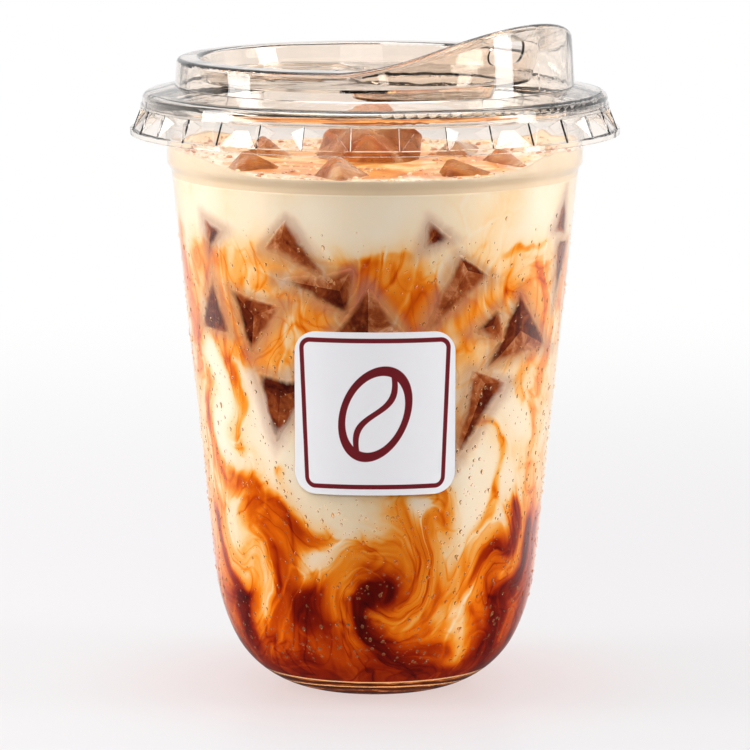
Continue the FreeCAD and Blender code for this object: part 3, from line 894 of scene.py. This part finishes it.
def bubble_finish():
    """Glossy bubbles, from cream to coffee by their tone, with a painted pale sheen towards their rims."""
    f = Finish("froth_bubbles")
    colour = f.mix(f.field("tone").step(0.45, 0.75), rgba(240, 205, 160), rgba(196, 116, 56))
    # painted sheen: the colour pales where a bubble turns edge on
    rim = f.add("ShaderNodeLayerWeight", {}, {"Blend": 0.35}, "Facing")
    colour = f.mix(rim * 0.7, colour, rgba(252, 238, 214))
    return f.use(f.skin(base_color=colour, roughness=0.08, coat_weight=0.6))


def sunk_ice_finish():
    """Coffee-coloured ice behind a skin of milk: clearest where it presses on the cup, with painted
    shade, one tone to a face, a few cracks and bubbles, and veiled towards its rim."""
    f = Finish("sunk_ice")
    around_it, fine = coffee_colour(f)
    p = f.place()
    grain = f.noise(p, 260.0, detail=5.0, roughness=0.65, distortion=0.6)
    facets = f.cells(f.stretch(p, (1, 1, 0.7)), 140.0, "DISTANCE_TO_EDGE")
    cracks = 1 - (facets + (grain - 0.5) * 0.12).step(0.0, 0.07)
    tone = f.field("shade") * 0.55 + (grain - 0.5) * 1.5 + 0.12 + cracks * 0.1
    colour = f.ramp(tone.clip(), [
        (0.0, tint(62, 14, 8)), (0.3, tint(112, 42, 18)), (0.6, tint(166, 84, 40)),
        (0.85, tint(214, 146, 98)), (1.0, tint(240, 206, 172))])
    proud = f.field("proud") + (grain - 0.5) * 1.4 + (fine - 0.5) * 1.2
    colour = f.mix(proud.step(0.0, 1.9), f.mix(0.55, around_it, VEIL), colour)
    # painted glow: the ice gives off a little light in its own colour
    return f.use(f.skin(base_color=colour, roughness=0.5, specular_ior_level=0.0,
                        emission_color=colour, emission_strength=0.1))


def ice_finish():
    """Wet ice that stands out of the foam: clear, and amber where the coffee shows through."""
    f = Finish("ice")
    p = f.place()
    cloudy = f.noise(p, 90.0, detail=4.0, roughness=0.6, distortion=0.8)
    colour = f.ramp(cloudy, [
        (0.34, tint(146, 74, 26)), (0.5, tint(212, 146, 82)), (0.64, tint(252, 228, 192))])
    dents = f.bump(f.noise(p, 160.0), 0.7)
    # painted glow: a faint amber light of the ice's own
    return f.use(f.skin(base_color=colour, roughness=0.05, normal=dents, transmission_weight=0.8, ior=1.31,
                        emission_color=(0.82, 0.42, 0.14, 1), emission_strength=0.03))


def lit_through(f, glass):
    """Glass that lets the lamps' light through to what lies behind it."""
    clear = f.add("ShaderNodeBsdfTransparent", {}, {"Color": WHITE})
    return f.use(f.blend(f.ray("Shadow"), glass, clear))


def water_finish():
    """Drops of water, with a warm tint and a faint amber glow painted in for the coffee behind them."""
    f = Finish("dew_water")
    # painted light: the warm tint and amber emission stand in for the coffee seen through the drops
    water = f.skin(base_color=(1, 0.93, 0.86, 1), roughness=0.0, transmission_weight=1.0, ior=1.27,
                   emission_color=(0.9, 0.42, 0.16, 1), emission_strength=0.04)
    return lit_through(f, water)


def clear_finish(name, colour, waves, depth):
    """Clear moulded plastic with painted shade that makes it a little darker and browner edge on,
    and with the faint waviness of its moulding: how close its waves lie and how deep they are."""
    f = Finish(name)
    wave = f.bump(f.noise(f.stretch(f.place(), (1, 1, 0.5)), waves, detail=2.0), depth)
    # painted shade: the colour darkens to brown where the surface turns edge on
    edge = f.add("ShaderNodeLayerWeight", {}, {"Blend": 0.5}, "Facing").step(0.62, 0.98)
    colour = f.mix(edge * 0.5, colour, rgba(150, 128, 112))
    glass = f.skin(base_color=colour, roughness=0.02, transmission_weight=1.0, ior=1.5, normal=wave)
    return lit_through(f, glass)


def pen(distance, width):
    """1 within half a pen's width of where a distance is nought, with a slightly soft edge."""
    near, far = width / 2 - PEN_SOFT, width / 2 + PEN_SOFT
    return 1 - distance.math("ABSOLUTE").step(near * MM, far * MM)


def rounded_line(across, up):
    """A line along a rounded square: it keeps the corners' radius from a smaller square."""
    core = (LINE_HALF - LINE_CORNER) * MM
    dx = (across.math("ABSOLUTE") - core).math("MAXIMUM", 0.0)
    dz = (up.math("ABSOLUTE") - core).math("MAXIMUM", 0.0)
    return pen((dx * dx + dz * dz).math("SQRT") - (LINE_CORNER - LINE_WIDTH / 2) * MM, LINE_WIDTH)


def coffee_bean(across, up):
    """An oval ring, leaning a little, with a furrow along it that follows one sine wave."""
    lean = math.radians(BEAN_LEAN)
    u = across * math.cos(lean) - up * math.sin(lean)
    v = across * math.sin(lean) + up * math.cos(lean)
    ru, rv = u / (BEAN_WIDTH / 2 * MM), v / (BEAN_LENGTH / 2 * MM)
    out = ((ru * ru + rv * rv).math("SQRT") - 1) * (BEAN_WIDTH / 2 * MM)
    wave = (v * (TURN / (BEAN_LENGTH * MM))).math("SINE") * (BEAN_WAVE * MM)
    furrow = pen(u - wave, BEAN_LINE - 2 * PEN_SOFT) * (1 - out.step(0.0, 0.1 * MM))
    return pen(out, BEAN_LINE).math("MAXIMUM", furrow)


def label_finish():
    """White glossy paper with a burgundy line round it and a coffee bean in the middle, both
    drawn as distances on the label unrolled from the cup."""
    f = Finish("label_print")
    low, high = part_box("label")
    p = f.place()
    x, y, z = (f.axis(p, letter) for letter in "XYZ")
    across = x.math("ARCTAN2", y * -1) * (LABEL_RADIUS * MM)
    up = z - (low[2] + high[2]) / 2
    printed = rounded_line(across, up).math("MAXIMUM", coffee_bean(across, up))
    wear = f.noise(p, 260.0)
    paper = f.mix(wear * 0.5, rgba(236, 236, 238), rgba(229, 229, 232))
    ink = f.mix(wear, rgba(104, 10, 22), rgba(120, 16, 28))
    return f.use(f.skin(base_color=f.mix(printed, paper, ink), roughness=0.3, coat_weight=0.1))


def paint(node, finish):
    """Gives a CAD node's object its finish."""
    for slot in bpy.data.objects[node].material_slots:
        slot.material = finish


# ---------------------------------------------------------------- studio

def make_floor():
    """The white floor: evenly bright, with painted shade that greys it a little to the right and a
    painted rosy glow round the foot for the light that the coffee casts. Further off it turns
    into the white of the background; in gloss it is dark in front of the cup. Distances from
    the foot are in metres."""
    f = Finish("white_floor")
    p = f.place()
    reach = f.length(p)
    matt = f.skin(base_color=f.mix(f.noise(p, 1.2, detail=2.0), rgba(216, 214, 216), rgba(210, 208, 211)),
                  roughness=0.35, specular_ior_level=0.2)
    # painted shade: a little greyer to the right; painted light: a rosy glow round the foot
    painted_glow_and_shade = f.mix(f.axis(p, "X").step(-0.1, 0.1), rgba(247, 245, 246), rgba(241, 239, 240))
    painted_glow_and_shade = f.mix((1 - reach.step(0.014, 0.075)) * 0.8, painted_glow_and_shade, rgba(246, 224, 220))
    seen = f.blend(0.72, matt, f.glow(painted_glow_and_shade))
    seen = f.blend(reach.step(0.14, 0.62), seen, f.glow(WHITE))
    shader = f.blend(f.ray("Camera").math("MAXIMUM", f.ray("Transmission")), matt, seen)
    mirrored = f.blend(f.axis(p, "Y").step(-0.02, 0.12), f.glow(WHITE, GLOSS_FRONT), f.glow(WHITE))
    shader = f.blend(f.ray("Glossy"), shader, mirrored)
    mesh = bpy.data.meshes.new("floor")
    mesh.from_pydata([(-4, -3, 0), (4, -3, 0), (4, 5, 0), (-4, 5, 0)], [], [(0, 1, 2, 3)])
    mesh.materials.append(f.use(shader))
    floor = bpy.data.objects.new("floor", mesh)
    bpy.context.scene.collection.objects.link(floor)


def make_light(name, width, height, place, aim, power, mirrored):
    """A soft rectangular lamp that faces a height on the cup's axis."""
    data = bpy.data.lights.new(name, "AREA")
    data.shape = "RECTANGLE"
    data.size, data.size_y = width, height
    data.energy = power
    lamp = bpy.data.objects.new(name, data)
    lamp.visible_glossy = mirrored
    lamp.location = place
    lamp.rotation_euler = (Vector((0, 0, aim)) - Vector(place)).to_track_quat("-Z", "Y").to_euler()
    bpy.context.scene.collection.objects.link(lamp)


def make_world():
    """White behind the object for the camera, for glass and for gloss, dark in front of it for
    gloss, and an even fill for the light that falls on dull surfaces. Dark cards stand round
    the sides, seen only through clear pieces, and what these show in front is warm."""
    world = bpy.data.worlds.new("studio")
    world.use_nodes = True
    bpy.context.scene.world = world
    sky = Nodes(world.node_tree, "ShaderNodeOutputWorld")

    def glow(strength, colour=WHITE):
        return sky.add("ShaderNodeBackground", {}, {"Color": colour, "Strength": strength})

    way = sky.add("ShaderNodeTexCoord", {}, {}, "Generated")
    x, y, z = (sky.axis(way, letter) for letter in "XYZ")
    azimuth = x.math("ARCTAN2", y).math("ABSOLUTE")
    cards = (azimuth * CARDS).math("SINE").step(-0.1, 0.4, 0.0, 0.93)
    dark = azimuth.step(0.2, 0.4) * cards
    overhead = z.step(0.35, 0.75, 0.0, 0.6)
    behind = y.step(-0.25, 0.55, GLOSS_FRONT, 1.0).math("MAXIMUM", overhead)
    through = y.step(-0.1, 0.5, FILL * 1.4, 1.0).math("MAXIMUM", overhead) * (1 - dark)
    warm = sky.mix(y.step(0.1, 0.6), (1.0, 0.86, 0.70, 1), WHITE)
    shader = glow(FILL)
    lights = {"Glossy": glow(behind), "Transmission": glow(through, warm), "Camera": glow(1.0)}
    for kind, light in lights.items():
        shader = sky.blend(sky.ray(kind), shader, light)
    sky.use(shader)


def make_camera():
    """A long lens in front of the cup, a little above it and looking slightly down."""
    data = bpy.data.cameras.new("view")
    data.lens, data.sensor_width = LENS, FILM
    view = bpy.data.objects.new("view", data)
    view.location = CAMERA_PLACE
    view.rotation_euler = (math.radians(90 - CAMERA_DOWN), 0, 0)
    bpy.context.scene.collection.objects.link(view)
    bpy.context.scene.camera = view


def main():
    make_camera()
    make_world()
    make_floor()
    for lamp in LAMPS:
        make_light(*lamp)
    make_drink(drink_finish())
    make_foam(foam_finish())
    make_sunk_ice(sunk_ice_finish())
    make_bubbles(bubble_finish())
    make_dew(water_finish())
    paint("cup", clear_finish("cup_plastic", WHITE, waves=45.0, depth=0.04))
    paint("lid", clear_finish("lid_plastic", LID_FOAM_GLOW_TINT, waves=75.0, depth=0.35))
    paint("label", label_finish())
    cube = ice_finish()
    for k in range(FLOATING_ICE):
        paint("ice_%d" % (k + 1), cube)


main()
scene = bpy.context.scene
scene.view_settings.view_transform = "Standard"
